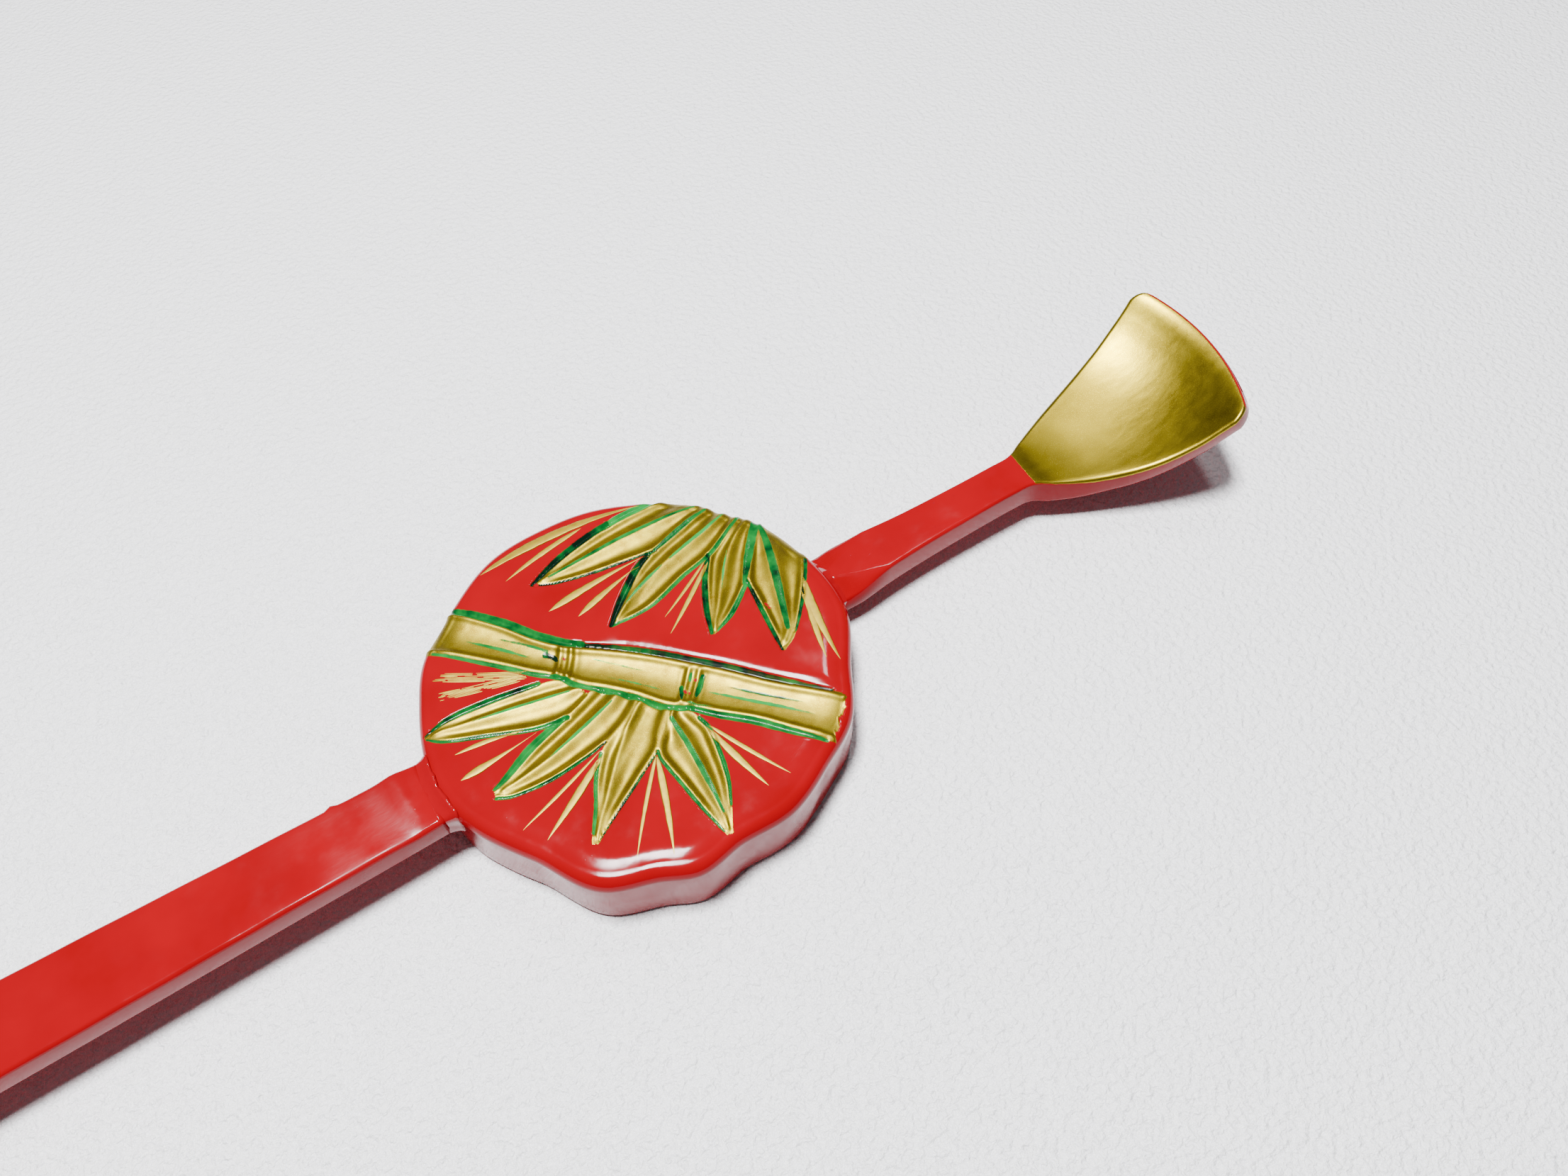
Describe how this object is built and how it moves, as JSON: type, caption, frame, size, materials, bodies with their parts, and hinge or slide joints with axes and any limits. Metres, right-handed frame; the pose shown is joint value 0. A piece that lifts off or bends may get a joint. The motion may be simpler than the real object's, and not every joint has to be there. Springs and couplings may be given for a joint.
{
  "type": "lacquered hairpin",
  "caption": "Red lacquered hairpin: flat leg, thick scalloped medallion carved with bamboo, and a short neck ending in an upturned gilded scoop.",
  "frame": {"origin": "centre of the medallion's flat back face, which is the face the pin rests on", "axes": "+X along the pin from the leg to the scoop, +Y across the pin, +Z out of the carved face"},
  "size_m": [0.1768, 0.0377, 0.0121],
  "materials": {
    "red_lacquer": "turned and carved hardwood under glossy vermilion lacquer",
    "joint_lacquer": "hard glossy lacquer filler",
    "gold_paint": "satin gold powder paint"
  },
  "bodies": {
    "root": {"medallion": "red_lacquer", "shaft": "red_lacquer", "neck_scoop": "red_lacquer", "shaft_joint_filler": "joint_lacquer", "neck_joint_filler": "joint_lacquer"}
  },
  "joints": []
}
